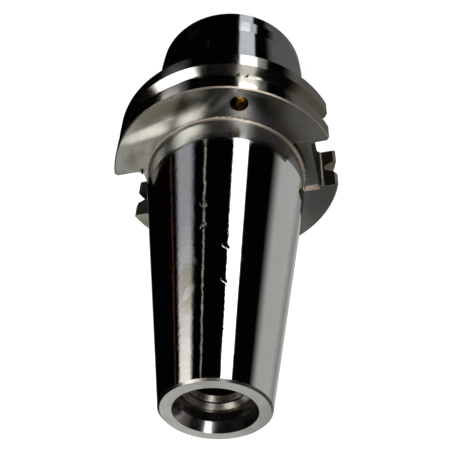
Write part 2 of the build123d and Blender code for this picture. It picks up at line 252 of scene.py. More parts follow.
@dataclass(frozen=True)
class Mark:
    """Stain, smear, dent, painted highlight or painted shade at one place of a surface. Lengths are in
    millimetres.

    Attributes:
        middle: its middle.
        along: the direction in which it is drawn out.
        length: half its length.
        width: half its width.
        color: its colour.
        strength: how much the colour covers, 0 for a dent alone.
        dull: how much it dulls the gloss.
        dent: how deep it is.
        ragged: how ragged its edge is.
    """

    middle: Place
    along: Place
    length: float
    width: float
    color: Color = (0.5, 0.5, 0.5)
    strength: float = 0.0
    dull: float = 0.0
    dent: float = 0.0
    ragged: float = 0.8

    def share(self, graph: Graph, place: Socket) -> Socket:
        """How much of the mark there is, from 0 beside it to 1 in it.

        Args:
            graph: the material's graph.
            place: the place in millimetres.

        Returns:
            The socket of the share.
        """
        off = graph.vector("SUBTRACT", place, self.middle).outputs[0]
        run = graph.vector("DOT_PRODUCT", off, self.along).outputs["Value"]
        rest = graph.vector("SUBTRACT", off, graph.scaled(self.along, run)).outputs[0]
        wide = graph.math("DIVIDE", graph.vector("LENGTH", rest).outputs["Value"], self.width)
        long = graph.math("DIVIDE", run, self.length)
        reach = graph.math("ADD", graph.math("MULTIPLY", wide, wide), graph.math("MULTIPLY", long, long))
        grain = graph.math("MULTIPLY", graph.noise(place, scale=0.9, detail=3.0, roughness=0.7), self.ragged)
        return graph.fade(graph.math("ADD", reach, grain), start=1.0 + self.ragged, end=self.ragged * 0.5)


@dataclass(frozen=True)
class Finish:
    """Finish of a turned, ground or moulded surface.

    Attributes:
        name: the finish's plain name.
        color: its main colour.
        worn: the colour that clouds it.
        metallic: 1 on metal.
        roughness: how dull it is.
        haze: how much duller its smudges are.
        cloud: smudges per millimetre.
        grain: depth of the fine marks, in millimetres.
        marks: fine marks per millimetre.
        stretch: how many times longer the marks are round the Z axis.
        wave: depth of the slow waviness, in millimetres.
        brushed: how much the marks draw the gloss out.
        across: turn of the drawn-out gloss, 0.25 for marks that run round the axis.
        ragged: depth of the fine waviness, in millimetres.
        edge: how much of its gloss stays at a flat angle.
        smooth_side: the direction on whose side of the piece there is no waviness, if any.
        spots: its stains, smears, dents, painted highlights and painted shade.
        foot: heights between which a duller foot fades out, in millimetres.
        foot_dull: how much duller the foot is.
    """

    name: str
    color: Color
    worn: Color
    metallic: float = 1.0
    roughness: float = 0.2
    haze: float = 0.1
    cloud: float = 0.15
    grain: float = 0.0004
    marks: float = 4.0
    stretch: float = 12.0
    wave: float = 0.0
    brushed: float = 0.0
    across: float = 0.0
    ragged: float = 0.0
    edge: float = 1.0
    smooth_side: Place | None = None
    spots: tuple[Mark, ...] = ()
    foot: tuple[float, float] = (0.0, 1.0)
    foot_dull: float = 0.0

    def material(self) -> bpy.types.Material:
        """Builds the material.

        Returns:
            The finished material.
        """
        made = bpy.data.materials.new(self.name)
        made.use_nodes = True
        graph = Graph(made.node_tree)
        place = graph.scaled(graph.node("TexCoord").outputs["Object"], 1 / MM)
        clouds = graph.noise(place, self.cloud, detail=3.0, roughness=0.6)
        marks = graph.noise(self.drawn_out(graph, place), self.marks, detail=2.0, roughness=0.7)
        shader = graph.node("BsdfPrincipled")
        shader.inputs["Metallic"].default_value = self.metallic
        shader.inputs["Specular Tint"].default_value = (self.edge, self.edge, self.edge, 1.0)
        patchy = graph.math("ADD", clouds, graph.math("MULTIPLY", marks, 0.25))
        tint = graph.fade(patchy, start=0.5, end=0.85)
        color = graph.blend(tint, self.color, self.worn)
        smudge = graph.math("MULTIPLY", graph.fade(clouds, start=0.45, end=0.75), self.haze)
        streak = graph.math("MULTIPLY", marks, self.roughness * STREAK_SHARE)
        dull = graph.math("ADD", graph.math("ADD", smudge, streak), self.roughness * PLAIN_SHARE)
        if self.foot_dull:
            foot = graph.fade(graph.height(place), start=self.foot[1], end=self.foot[0])
            dull = graph.math("ADD", dull, graph.math("MULTIPLY", foot, self.foot_dull))
        relief = self.waviness(graph, place)
        for spot in self.spots:
            share = spot.share(graph, place)
            color = graph.blend(graph.math("MULTIPLY", share, spot.strength), color, spot.color)
            dull = graph.math("ADD", dull, graph.math("MULTIPLY", share, spot.dull))
            relief = graph.math("SUBTRACT", relief, graph.math("MULTIPLY", share, spot.dent))
        graph.feed(shader.inputs["Base Color"], color)
        graph.feed(shader.inputs["Roughness"], dull)
        graph.feed(shader.inputs["Normal"], graph.bump(marks, self.grain, graph.bump(relief, 1.0)))
        if self.brushed:
            shader.inputs["Anisotropic"].default_value = self.brushed
            shader.inputs["Anisotropic Rotation"].default_value = self.across
            tangent = graph.node("Tangent", direction_type="RADIAL", axis="Z")
            graph.feed(shader.inputs["Tangent"], tangent.outputs[0])
        graph.feed(graph.node("OutputMaterial").inputs["Surface"], shader.outputs[0])
        return made

    def waviness(self, graph: Graph, place: Socket) -> Socket:
        """Slow and fine waviness of the surface.

        Args:
            graph: the material's graph.
            place: the place in millimetres.

        Returns:
            The socket of the height in millimetres.
        """
        slow = graph.math("MULTIPLY", graph.noise(place, scale=0.16, detail=2.0, roughness=0.5), self.wave)
        fine = graph.math("MULTIPLY", graph.noise(place, scale=0.9, detail=3.0, roughness=0.6), self.ragged)
        height = graph.math("ADD", slow, fine)
        if self.smooth_side is None:
            return height
        level = graph.vector("MULTIPLY", place, LEVEL_PART).outputs[0]
        outward = graph.vector("NORMALIZE", level).outputs[0]
        side = graph.vector("DOT_PRODUCT", outward, self.smooth_side).outputs["Value"]
        return graph.math("MULTIPLY", height, graph.fade(side, start=0.17, end=0.03))

    def drawn_out(self, graph: Graph, place: Socket) -> Socket:
        """Place drawn out round the Z axis, so that marks on it run as a lathe leaves them.

        Args:
            graph: the material's graph.
            place: the place in millimetres.

        Returns:
            The socket of the drawn-out place.
        """
        level = graph.vector("MULTIPLY", place, LEVEL_PART).outputs[0]
        radius = graph.vector("LENGTH", level).outputs["Value"]
        around = graph.scaled(graph.vector("NORMALIZE", level).outputs[0], MARK_DRUM_R / self.stretch)
        joined = graph.node("CombineXYZ")
        graph.feed(joined.inputs[2], graph.math("ADD", graph.height(place), radius))
        return graph.vector("ADD", around, joined.outputs[0]).outputs[0]


# The marks' places are in the frame's own axes, where the photograph shows them.
STAINS = (
    Mark((-2.9, 15.1, 101.5), (0.0, 0.0, 1.0), 8.0, 2.8, (0.36, 0.35, 0.24), 0.75, dull=0.05),
    Mark((-3.2, 15.0, 103.5), (-0.6, 0.0, 0.8), 2.6, 1.0, (0.75, 0.75, 0.73), 0.9, dull=0.16, ragged=1.4),
    Mark((-2.2, 16.2, 95.0), (0.5, 0.0, 0.85), 1.8, 0.7, (0.72, 0.72, 0.70), 0.8, dull=0.12, ragged=1.4),
    Mark((-5.2, 18.3, 70.0), (0.0, 0.0, 1.0), 6.0, 1.6, (0.62, 0.60, 0.50), 0.6, dull=0.05),
    Mark((-0.15, 18.6, 79.9), (0.6, 0.0, 0.8), 1.3, 0.7, dent=0.02),
    Mark((0.0, 17.7, 86.4), (-0.6, 0.0, 0.8), 1.1, 0.6, dent=0.02),
    Mark((5.2, 16.1, 92.2), (0.8, 0.0, 0.6), 1.3, 0.6, dent=0.035),
    Mark((4.8, 14.9, 101.2), (0.7, 0.0, 0.7), 1.0, 0.5, dent=0.03),
    Mark((-7.8, 14.7, 94.4), (0.6, 0.0, 0.8), 1.2, 0.7, dent=0.02),
)
# Painted highlights and painted shade on the turned front face: the cream streaks are painted highlights
# drawn into its colour, the grey patches on the right are painted shade, and the dark olive patches darken
# it too.
FACE_PAINTED_GLEAM_AND_SHADE = (
    Mark((-12.0, 21.6, 51.6), (0.98, 0.2, 0.0), 14.0, 2.1, (0.90, 0.89, 0.81), 1.0, ragged=0.8),
    Mark((-5.8, 27.4, 51.6), (0.97, 0.24, 0.0), 6.0, 2.3, (0.09, 0.085, 0.05), 0.9, ragged=0.9),
    Mark((-12.5, 26.6, 51.6), (0.9, 0.43, 0.0), 8.0, 2.8, (0.14, 0.138, 0.10), 0.9, ragged=0.9),
    Mark((6.2, 26.8, 51.6), (0.77, 0.63, 0.0), 5.5, 1.1, (0.80, 0.79, 0.72), 0.9, ragged=0.8),
    Mark((1.5, 26.5, 51.6), (0.77, 0.63, 0.0), 4.0, 0.8, (0.75, 0.73, 0.62), 0.7, ragged=0.8),
    Mark((15.0, 26.5, 51.6), (0.87, -0.5, 0.0), 4.0, 1.0, (0.80, 0.80, 0.74), 0.8, ragged=0.8),
    Mark((25.2, -12.3, 51.6), (0.44, 0.9, 0.0), 13.0, 7.0, (0.15, 0.15, 0.15), 0.9, ragged=0.4),
    Mark((23.3, -1.0, 51.6), (0.0, 1.0, 0.0), 9.0, 3.5, (0.13, 0.13, 0.12), 0.9, ragged=0.3),
)
SMEARS = (
    Mark((-9.6, 21.6, 28.0), (-0.5, 0.0, 0.85), 2.6, 0.9, (0.60, 0.60, 0.55), 0.8, dull=0.22, ragged=1.4),
    Mark((-0.9, 23.1, 18.2), (0.0, 0.0, 1.0), 6.0, 0.35, (0.60, 0.58, 0.45), 0.8, dull=0.16, ragged=1.2),
)
RIM_MARKS = (
    Mark((13.6, 28.4, 48.0), (0.9, -0.4, 0.0), 3.6, 1.8, (0.26, 0.25, 0.21), 0.85, dull=0.06, ragged=1.8),
    Mark((-21.9, 22.7, 49.0), (0.5, 0.85, 0.0), 1.6, 1.2, (0.55, 0.33, 0.22), 0.9, dull=0.25, ragged=1.0),
)
PLUG_SHADE = (
    Mark((8.1, 25.3, 49.9), (0.28, 0.96, 0.0), 3.0, 1.7, (0.015, 0.01, 0.006), 0.96, ragged=0.3),
)
POLISHED = Finish("polished_slim_body", (0.60, 0.60, 0.585), (0.62, 0.625, 0.64), roughness=0.035, haze=0.05,
                  cloud=0.12, grain=0.00003, marks=3.0, wave=0.04, ragged=0.016,
                  smooth_side=(0.961, -0.276, 0.0), spots=STAINS,
                  foot=(56.0, 62.0), foot_dull=0.26)
# Painted highlight: the broken edges are painted pale cream, and their high roughness spreads the surround
# over them, so they show as bright lines.
EDGE = Finish("broken_edge_painted_glint", (0.82, 0.73, 0.62), (0.70, 0.58, 0.45), roughness=0.42, haze=0.05, grain=0.0005)
RIM = Finish("turned_flange_rim", (0.60, 0.59, 0.56), (0.56, 0.52, 0.45), roughness=0.09, haze=0.06,
             grain=0.0002, marks=5.0, stretch=30.0, wave=0.01, spots=RIM_MARKS)
# The front face's marks paint highlight streaks and shade into its colour.
FACE = Finish("turned_front_face_painted_gleam", (0.32, 0.315, 0.295), (0.22, 0.205, 0.17), roughness=0.155, haze=0.03,
              cloud=0.1, grain=0.0008, marks=3.0, stretch=20.0, brushed=0.97, across=0.25, spots=FACE_PAINTED_GLEAM_AND_SHADE)
GROUND = Finish("ground_taper", (0.56, 0.575, 0.585), (0.50, 0.49, 0.46), roughness=0.06, haze=0.05,
                cloud=0.1, grain=0.0001, marks=6.0, stretch=30.0, wave=0.01, spots=SMEARS)
# Painted shade: the drive slots' milled steel is painted dark olive-brown and keeps little gloss at a flat
# angle, standing in for the shade inside the slots.
SLOT_PAINTED_SHADE = Finish("milled_drive_slot_painted_shade", (0.15, 0.145, 0.11), (0.10, 0.09, 0.06), roughness=0.34, grain=0.002,
                stretch=1.0, edge=0.2)
# Painted shade: the filling port's drilled wall is painted near black for the shade down in the hole.
HOLE_PAINTED_SHADE = Finish("drilled_hole_painted_shade", (0.10, 0.09, 0.08), (0.06, 0.055, 0.045), roughness=0.34, grain=0.002,
                   stretch=20.0, edge=0.2)
LEAD_IN = Finish("turned_lead_in", (0.52, 0.51, 0.52), (0.36, 0.34, 0.38), roughness=0.17, haze=0.1,
                 cloud=0.3, grain=0.0006, marks=4.0, stretch=30.0)
NOSE = Finish("faced_nose", (0.60, 0.60, 0.58), (0.50, 0.49, 0.46), roughness=0.38, haze=0.06,
              grain=0.0015, marks=5.0, stretch=30.0, brushed=0.4)
BORED = Finish("bored_steel", (0.50, 0.49, 0.46), (0.42, 0.39, 0.35), roughness=0.2, haze=0.08,
               grain=0.0006, marks=4.0, stretch=30.0)
SLEEVE = Finish("brazed_sleeve", (0.40, 0.385, 0.37), (0.33, 0.29, 0.23), roughness=0.27, haze=0.12,
                cloud=0.3, grain=0.0004, marks=5.0, stretch=30.0)
HONED = Finish("honed_bore", (0.40, 0.40, 0.39), (0.33, 0.33, 0.32), roughness=0.2, haze=0.04,
               grain=0.0006, marks=6.0, stretch=4.0)
GROUND_PIN = Finish("ground_piston", (0.58, 0.58, 0.57), (0.48, 0.48, 0.46), roughness=0.12, haze=0.05,
                    grain=0.0003, marks=6.0)
BLACKENED = Finish("blackened_screw", (0.035, 0.034, 0.036), (0.10, 0.085, 0.07), metallic=0.85,
                   roughness=0.36, haze=0.15, cloud=0.5, grain=0.002, marks=5.0, stretch=1.0)
BRIGHT_ZINC = Finish("bright_zinc", (0.55, 0.56, 0.58), (0.45, 0.44, 0.36), roughness=0.2, haze=0.15,
                     cloud=0.3, grain=0.0008, marks=5.0)
BRASS = Finish("brass_plug", (0.66, 0.43, 0.14), (0.30, 0.17, 0.05), roughness=0.24, haze=0.15,
               cloud=0.8, grain=0.001, marks=6.0, stretch=1.0, spots=PLUG_SHADE)
RUBBER = Finish("seal_rubber", (0.016, 0.016, 0.017), (0.035, 0.034, 0.032), metallic=0.0, roughness=0.5,
                haze=0.2, cloud=0.6, grain=0.004, marks=6.0, stretch=1.0)
WHITE_RING = Finish("backup_plastic", (0.72, 0.70, 0.64), (0.62, 0.58, 0.48), metallic=0.0, roughness=0.4,
                    haze=0.1, cloud=0.6, grain=0.003, marks=6.0)


class Region(Enum):
    """Surfaces of the one-piece body that are finished in their own ways, by the order of its materials."""

    SLIM = 0
    RIM = 1
    FACE = 2
    TAPER = 3
    SLOT = 4
    NOSE = 5
    BORE = 6
    EDGE = 7
    HOLE = 8
    LEAD_IN = 9


@dataclass
class ChuckBody:
    """The one-piece body, whose surfaces get a finish each. Sizes are in millimetres.

    Attributes:
        contact_z: the flange's rear face.
        front_z: its front face.
        cone_z: where the slim body starts to taper.
        nose_z: the nose.
        root_r: radius of the slim body's foot.
        nose_r: radius of the nose.
        slot_half: half the width of a drive slot.
        slot_flare: how far the broken edges of a slot reach.
        slot_inner: how near the axis facets of a slot's front can lie.
        slot_rest: how far the slots' walls reach in past the foot's radius.
        groove_r: radius inside which a facet beside a slot is not on the rim.
        port: place of the filling port.
        port_r: its radius.
        mouth_r: radius of the nose's lead-in.
        mouth_depth: depth of the lead-in.
        break_reach: how far the front face's broken edges reach.
        rear_reach: how far the flange's rear face still counts as the shank.
        skin: how far a facet's middle can lie from its surface.
        level: least Z of the normal of a level facet.
        funnel: least Z of the normal of the lead-in's cone.
        break_rise: Z of the normal of a broken edge of the front face.
        break_side: Y of the normal of a broken edge of a slot.
        corner_rise: least Z of the normal of a slot's broken edge inside the rim.
        wall_side: least Y of the normal of a slot's wall.
        inward: most outward share of the normal of a facet inside a hollow.
        finishes: the finish of each surface.
    """

    contact_z: float = 36.2
    front_z: float = 51.6
    cone_z: float = 59.1
    nose_z: float = 124.6
    root_r: float = 21.5
    nose_r: float = 12.4
    slot_half: float = 8.05
    slot_flare: float = 1.0
    slot_inner: float = 15.5
    slot_rest: float = 2.0
    groove_r: float = 28.0
    port: tuple[float, float] = (9.53, 24.83)
    port_r: float = 2.4
    mouth_r: float = 9.4
    mouth_depth: float = 2.2
    break_reach: float = 1.1
    rear_reach: float = 0.3
    skin: float = 0.15
    level: float = 0.9
    funnel: float = 0.2
    break_rise: tuple[float, float] = (0.15, 0.97)
    break_side: tuple[float, float] = (0.5, 0.95)
    corner_rise: float = 0.25
    wall_side: float = 0.6
    inward: float = -0.3
    finishes: dict[Region, Finish] = field(default_factory=lambda: {
        Region.SLIM: POLISHED, Region.RIM: RIM, Region.FACE: FACE, Region.TAPER: GROUND,
        Region.SLOT: SLOT_PAINTED_SHADE, Region.NOSE: NOSE, Region.BORE: BORED, Region.EDGE: EDGE,
        Region.HOLE: HOLE_PAINTED_SHADE, Region.LEAD_IN: LEAD_IN})

    def outside(self, height: float) -> float:
        """Least radius at which a surface still belongs to the outside.

        Args:
            height: the height in millimetres.

        Returns:
            The radius in millimetres.
        """
        if height > self.cone_z:
            share = (height - self.cone_z) / (self.nose_z - self.cone_z)
            return self.root_r + share * (self.nose_r - self.root_r) - self.skin
        return self.root_r - self.skin

    def region(self, centre: Vector, normal: Vector) -> Region:
        """Surface that a facet belongs to.

        Args:
            centre: the facet's middle, in millimetres.
            normal: its normal.

        Returns:
            The surface.
        """
        radius = math.hypot(centre.x, centre.y)
        height = centre.z
        found = self.front(centre, normal, radius) or self.slot(centre, normal, radius)
        if found:
            return found
        outward = (normal.x * centre.x + normal.y * centre.y) / max(radius, self.skin)
        if radius < self.outside(height) or outward < self.inward:
            return Region.BORE
        if height < self.contact_z + self.rear_reach:
            return Region.TAPER
        return Region.RIM if height < self.front_z - self.skin / 3 else Region.SLIM

    def front(self, centre: Vector, normal: Vector, radius: float) -> Region | None:
        """Surface of the nose, the mouth, the front face or the filling port that a facet belongs to.

        Args:
            centre: the facet's middle, in millimetres.
            normal: its normal.
            radius: its distance from the axis.

        Returns:
            The surface, or None where it is none of them.
        """
        height = centre.z
        if height > self.nose_z - self.skin / 3 and normal.z > self.level:
            return Region.NOSE
        from_front = abs(height - self.front_z)
        if from_front < self.skin / 3 and normal.z > self.level and radius > self.root_r:
            return Region.FACE
        if radius < self.mouth_r + self.skin and height > self.nose_z - self.mouth_depth - self.skin:
            return Region.LEAD_IN if normal.z > self.funnel else Region.BORE
        off_port = math.hypot(centre.x - self.port[0], centre.y - self.port[1])
        if off_port < self.port_r + self.skin and self.contact_z < height < self.front_z - self.skin:
            return Region.HOLE
        low, high = self.break_rise
        if self.root_r < radius and from_front < self.break_reach and low < normal.z < high:
            return Region.EDGE
        return None

    def slot(self, centre: Vector, normal: Vector, radius: float) -> Region | None:
        """Surface of a drive slot that a facet belongs to.

        Args:
            centre: the facet's middle, in millimetres.
            normal: its normal.
            radius: its distance from the axis.

        Returns:
            The surface, or None where the facet isn't in a slot.
        """
        if not self.contact_z - self.skin < centre.z < self.front_z + self.skin:
            return None
        beside = abs(centre.y) < self.slot_half + self.slot_flare + self.skin
        if abs(centre.x) > self.slot_inner:
            if normal.z > self.level and centre.z > self.front_z - self.slot_flare - self.skin:
                return Region.FACE
            broken = abs(normal.z) > self.corner_rise or radius > self.groove_r
            low, high = self.break_side
            if broken and beside and low < abs(normal.y) < high:
                return Region.EDGE
        if abs(centre.x) > self.root_r - self.slot_rest:
            wall = abs(normal.y) > self.wall_side and beside
            floor = radius < self.groove_r - self.skin and abs(centre.y) < self.slot_half + self.skin
            if (wall or floor) and radius > self.root_r - self.skin:
                return Region.SLOT
        return None

    def build(self) -> None:
        """Gives each facet of the body the material of its surface."""
        body = bpy.data.objects["chuck_body"]
        mesh = body.data
        mesh.materials.clear()
        for region in Region:
            mesh.materials.append(self.finishes[region].material())
        for facet in mesh.polygons:
            facet.material_index = self.region(facet.center / MM, facet.normal).value
        log.info("chuck_body: %d facets, %d finishes", len(mesh.polygons), len(Region))


def dress(node: str, finish: Finish) -> bpy.types.Object:
    """Gives a piece of the frame its finish.

    Args:
        node: the piece's name.
        finish: what it gets.

    Returns:
        The piece.
    """
    piece = bpy.data.objects[node]
    piece.data.materials.clear()
    piece.data.materials.append(finish.material())
    log.info("%s: %s", node, finish.name)
    return piece


@dataclass
class ClampSleeve:
    """The expansion sleeve, brazed outside and honed inside. Sizes are in millimetres."""

    bore_r: float = 6.0
    skin: float = 0.05

    def build(self) -> None:
        """Dresses the sleeve and gives the clamping bore its honed finish."""
        mesh = dress("expansion_sleeve", SLEEVE).data
        mesh.materials.append(HONED.material())
        for facet in mesh.polygons:
            middle = facet.center / MM
            facet.material_index = int(math.hypot(middle.x, middle.y) < self.bore_r + self.skin)


@dataclass
class FillingPort:
    """The ball and the brass plug in the flange's front face, and the cross duct's plug."""

    def build(self) -> None:
        """Dresses the three pieces."""
        dress("fill_ball", BRIGHT_ZINC)
        dress("fill_plug", BRASS)
        dress("duct_plug", BRIGHT_ZINC)


@dataclass
class Lathe:
    """Meshes made of rings of points that follow one another, with edges sharp from an angle in degrees."""

    sides: int = 72
    sharp_from: float = 28.0

    def ring(self, radius: float, height: float) -> Ring:
        """Round ring."""
        return [Vector((radius * math.cos(a), radius * math.sin(a), height)) for a in self.angles()]

    def angles(self) -> list[float]:
        """Angles of a ring's points."""
        return [math.tau * step / self.sides for step in range(self.sides)]

    def hexagon(self, across_flats: float, height: float) -> Ring:
        """Hexagonal ring.

        Args:
            across_flats: its width between two flats.
            height: where it lies.

        Returns:
            Its points.
        """
        sixth = math.tau / 6
        points = []
        for angle in self.angles():
            off_flat = (angle + sixth / 2) % sixth - sixth / 2
            radius = across_flats / 2 / math.cos(off_flat)
            points.append(Vector((radius * math.cos(angle), radius * math.sin(angle), height)))
        return points

    def piece(self, name: str, rings: list[Ring], place: Matrix) -> bpy.types.Object:
        """Joins rings into a closed piece.

        Args:
            name: the piece's name.
            rings: its rings, the last of which meets the first again.
            place: turns and moves millimetres of the rings to the frame's place.

        Returns:
            The piece.
        """
        points = [place @ point * MM for ring in rings for point in ring]
        facets = []
        for row in range(len(rings)):
            low, high = row * self.sides, (row + 1) % len(rings) * self.sides
            for step in range(self.sides):
                turn = (step + 1) % self.sides
                facets.append((low + step, low + turn, high + turn, high + step))
        mesh = bpy.data.meshes.new(name)
        mesh.from_pydata(points, [], facets)
        mesh.shade_smooth()
        mesh.set_sharp_from_angle(angle=math.radians(self.sharp_from))
        made = bpy.data.objects.new(name, mesh)
        bpy.context.scene.collection.objects.link(made)
        return made


@dataclass
class Thread:
    """Outer thread as a height above its core. Sizes are in millimetres.

    Attributes:
        radius: radius of its crest.
        pitch: how far it goes on in one turn.
        depth: how deep it is cut.
        rows_a_pitch: rings of points along one pitch.
        crest: share of the pitch that the crest takes.
        flank: share of the pitch that the two flanks take.
    """

    radius: float
    pitch: float = 1.0
    depth: float = 0.55
    rows_a_pitch: int = 12
    crest: float = 0.25
    flank: float = 0.6

    def radius_at(self, height: float, angle: float) -> float:
        """Radius of the thread's flank, crest or root.

        Args:
            height: along the axis.
            angle: round the axis.

        Returns:
            The radius.
        """
        phase = (height / self.pitch - angle / math.tau) % 1.0
        rise = abs(phase - 0.5) * 2
        share = min(1.0, max(0.0, (rise - self.crest) / self.flank))
        return self.radius - self.depth * share

    def rings(self, lathe: Lathe, start: float, end: float, bevel: float, top_bevel: float,
              necks: tuple[tuple[float, float, float], ...] = ()) -> list[Ring]:
        """Rings of the thread between two heights.

        Args:
            lathe: the ring maker.
            start: the lower end.
            end: the upper end.
            bevel: chamfer at the lower end.
            top_bevel: chamfer at the upper end.
            necks: grooves as (start, end, radius).

        Returns:
            The rings, from start to end.
        """
        rows = max(2, round((end - start) / self.pitch * self.rows_a_pitch))
        heights = [(start + (end - start) * row / rows, None) for row in range(rows + 1)]
        for low, high, neck in necks:
            heights = [item for item in heights if not low <= item[0] <= high]
            heights += [(low, None), (low, neck), (high, neck), (high, None)]
            heights.sort(key=lambda item: (item[0], self.order(item, high)))
        made = []
        for height, neck in heights:
            ring = []
            for angle in lathe.angles():
                limit = min(self.radius - bevel + height - start, self.radius - top_bevel + end - height)
                radius = neck if neck else min(self.radius_at(height, angle), limit)
                ring.append(Vector((radius * math.cos(angle), radius * math.sin(angle), height)))
            made.append(ring)
        return made

    def order(self, item: tuple[float, float | None], high: float) -> int:
        """Order of two rings at one height, so that a groove's walls stand square.

        Args:
            item: a ring's height and, in a groove, its radius.
            high: the groove's upper end.

        Returns:
            0 for the ring that comes first, 1 for the other.
        """
        if item[0] == high:
            return 0 if item[1] else 1
        return 1 if item[1] else 0


@dataclass
class PressureDrive:
    """Pressure screw with its thread and socket, and the piston that it drives. Sizes are in millimetres."""

    bore_y: float = -13.2
    bore_z: float = 58.5
    start: float = 5.5
    length: float = 7.5
    radius: float = 3.45
    socket: float = 4.0
    socket_depth: float = 4.2
    socket_lead: float = 0.45
    socket_lead_depth: float = 0.22
    bevel: float = 0.5
    drill_cone: float = 1.0
    drill_inset: float = 0.1

    def screw(self) -> bpy.types.Object:
        """Builds the threaded socket screw.

        Returns:
            The screw.
        """
        lathe = Lathe(48)
        top = self.start + self.length
        floor = top - self.socket_depth
        rings = Thread(self.radius, depth=0.5).rings(lathe, self.start, top, self.bevel, self.bevel)
        rings += [
            lathe.ring(self.socket / 2 + self.socket_lead, top),
            lathe.hexagon(self.socket, top - self.socket_lead_depth),
            lathe.hexagon(self.socket, floor),
            lathe.ring(self.socket / 2 - self.drill_inset, floor),
            lathe.ring(TIP_R, floor - self.drill_cone),
            lathe.ring(TIP_R, self.start),
        ]
        along = Matrix.Translation((0, self.bore_y, self.bore_z)) @ Matrix.Rotation(math.radians(90), 4, "Y")
        return lathe.piece("pressure_screw_threaded", rings, along)

    def build(self) -> None:
        """Builds the screw and dresses the piston with its rings."""
        screw = self.screw()
        screw.data.materials.append(BLACKENED.material())
        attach(screw, "pressure_drive")
        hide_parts("pressure_screw")
        log.info("%s: %d facets", screw.name, len(screw.data.polygons))
        dress("pressure_piston", GROUND_PIN)
        dress("piston_seal", RUBBER)
        dress("piston_backup_ring", WHITE_RING)


@dataclass
class LengthStop:
    """Hollow stop screw with its thread, its sockets and its seal. Sizes are in millimetres."""

    start: float = 43.5
    length: float = 24.0
    radius: float = 4.95
    hole_r: float = 1.6
    socket: float = 5.0
    socket_depth: float = 5.0
    socket_lead: float = 0.5
    socket_lead_depth: float = 0.2
    bevel: float = 0.7
    seal_place: float = 2.2
    seal_width: float = 1.8
    seal_r: float = 3.9

    def screw(self) -> bpy.types.Object:
        """Builds the threaded screw.

        Returns:
            The screw.
        """
        lathe = Lathe(60)
        top = self.start + self.length
        seal = self.start + self.seal_place
        neck = (seal, seal + self.seal_width, self.seal_r)
        rings = Thread(self.radius).rings(lathe, self.start, top, self.bevel, self.bevel, (neck,))
        rings += [
            lathe.ring(self.socket / 2 + self.socket_lead, top),
            lathe.hexagon(self.socket, top - self.socket_lead_depth),
            lathe.hexagon(self.socket, top - self.socket_depth),
            lathe.ring(self.hole_r, top - self.socket_depth),
            lathe.ring(self.hole_r, self.start + self.socket_depth),
            lathe.hexagon(self.socket, self.start + self.socket_depth),
            lathe.hexagon(self.socket, self.start + self.socket_lead_depth),
            lathe.ring(self.socket / 2 + self.socket_lead, self.start),
        ]
        return lathe.piece("length_stop_threaded", rings, Matrix.Identity(4))

    def build(self) -> None:
        """Builds the screw and dresses its seal."""
        screw = self.screw()
        screw.data.materials.append(BLACKENED.material())
        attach(screw, "length_stop")
        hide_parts("length_stop_screw")
        log.info("%s: %d facets", screw.name, len(screw.data.polygons))
        dress("stop_screw_seal", RUBBER)


@dataclass
class CoolantUnit:
    """Coolant tube, its threaded nut and its two seals. Sizes are in millimetres."""

    start: float = 27.0
    length: float = 7.9
    radius: float = 8.95
    bore_r: float = 6.35
    seal_bore_r: float = 8.1
    seal_depth: float = 2.1
    seal_lead: float = 0.2
    bore_lead: float = 0.3
    bevel: float = 0.7
    top_bevel: float = 0.3
    slot_width: float = 3.0
    slot_depth: float = 2.4
    slot_turn: float = 45.0
    slot_overrun: float = 2.0

    def ring_nut(self) -> bpy.types.Object:
        """Builds the nut with its outer thread and cuts its spanner slots.

        Returns:
            The nut.
        """
        lathe = Lathe(96)
        top = self.start + self.length
        rings = Thread(self.radius).rings(lathe, self.start, top, self.bevel, self.top_bevel)
        rings += [
            lathe.ring(self.seal_bore_r + self.seal_lead, top),
            lathe.ring(self.seal_bore_r, top - self.seal_lead),
            lathe.ring(self.seal_bore_r, top - self.seal_depth),
            lathe.ring(self.bore_r, top - self.seal_depth),
            lathe.ring(self.bore_r, self.start + self.bore_lead),
            lathe.ring(self.bore_r + self.bore_lead, self.start),
        ]
        nut = lathe.piece("coolant_nut_threaded", rings, Matrix.Identity(4))
        for turn in (self.slot_turn, self.slot_turn + 90.0):
            self.cut_slot(nut, turn)
        return nut

    def cut_slot(self, nut: bpy.types.Object, turn: float) -> None:
        """Cuts a slot across the nut's lower end.

        Args:
            nut: the nut.
            turn: the slot's direction in degrees.
        """
        half = Vector((self.radius + self.slot_overrun, self.slot_width / 2, self.slot_depth))
        signs = [(x, y, z) for x in (-1, 1) for y in (-1, 1) for z in (-1, 1)]
        corners = [Vector((x * half.x, y * half.y, z * half.z)) for x, y, z in signs]
        facets = [(0, 1, 3, 2), (4, 6, 7, 5), (0, 4, 5, 1), (2, 3, 7, 6), (0, 2, 6, 4), (1, 5, 7, 3)]
        mesh = bpy.data.meshes.new("slot_cutter")
        place = Matrix.Translation((0, 0, self.start)) @ Matrix.Rotation(math.radians(turn), 4, "Z")
        mesh.from_pydata([place @ corner * MM for corner in corners], [], facets)
        cutter = bpy.data.objects.new("slot_cutter", mesh)
        bpy.context.scene.collection.objects.link(cutter)
        cut = nut.modifiers.new("slot", "BOOLEAN")
        cut.operation = "DIFFERENCE"
        cut.object = cutter
        cut.solver = "EXACT"
        shape = bpy.data.meshes.new_from_object(nut.evaluated_get(bpy.context.evaluated_depsgraph_get()))
        nut.modifiers.clear()
        nut.data = shape
        bpy.data.objects.remove(cutter)

    def build(self) -> None:
        """Builds the nut and dresses the tube and the seals."""
        nut = self.ring_nut()
        nut.data.materials.clear()
        nut.data.materials.append(BRIGHT_ZINC.material())
        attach(nut, "chuck")
        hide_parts("coolant_nut")
        log.info("%s: %d facets", nut.name, len(nut.data.polygons))
        dress("coolant_tube", BRIGHT_ZINC)
        dress("tube_seal_outer", RUBBER)
        dress("tube_seal_inner", RUBBER)


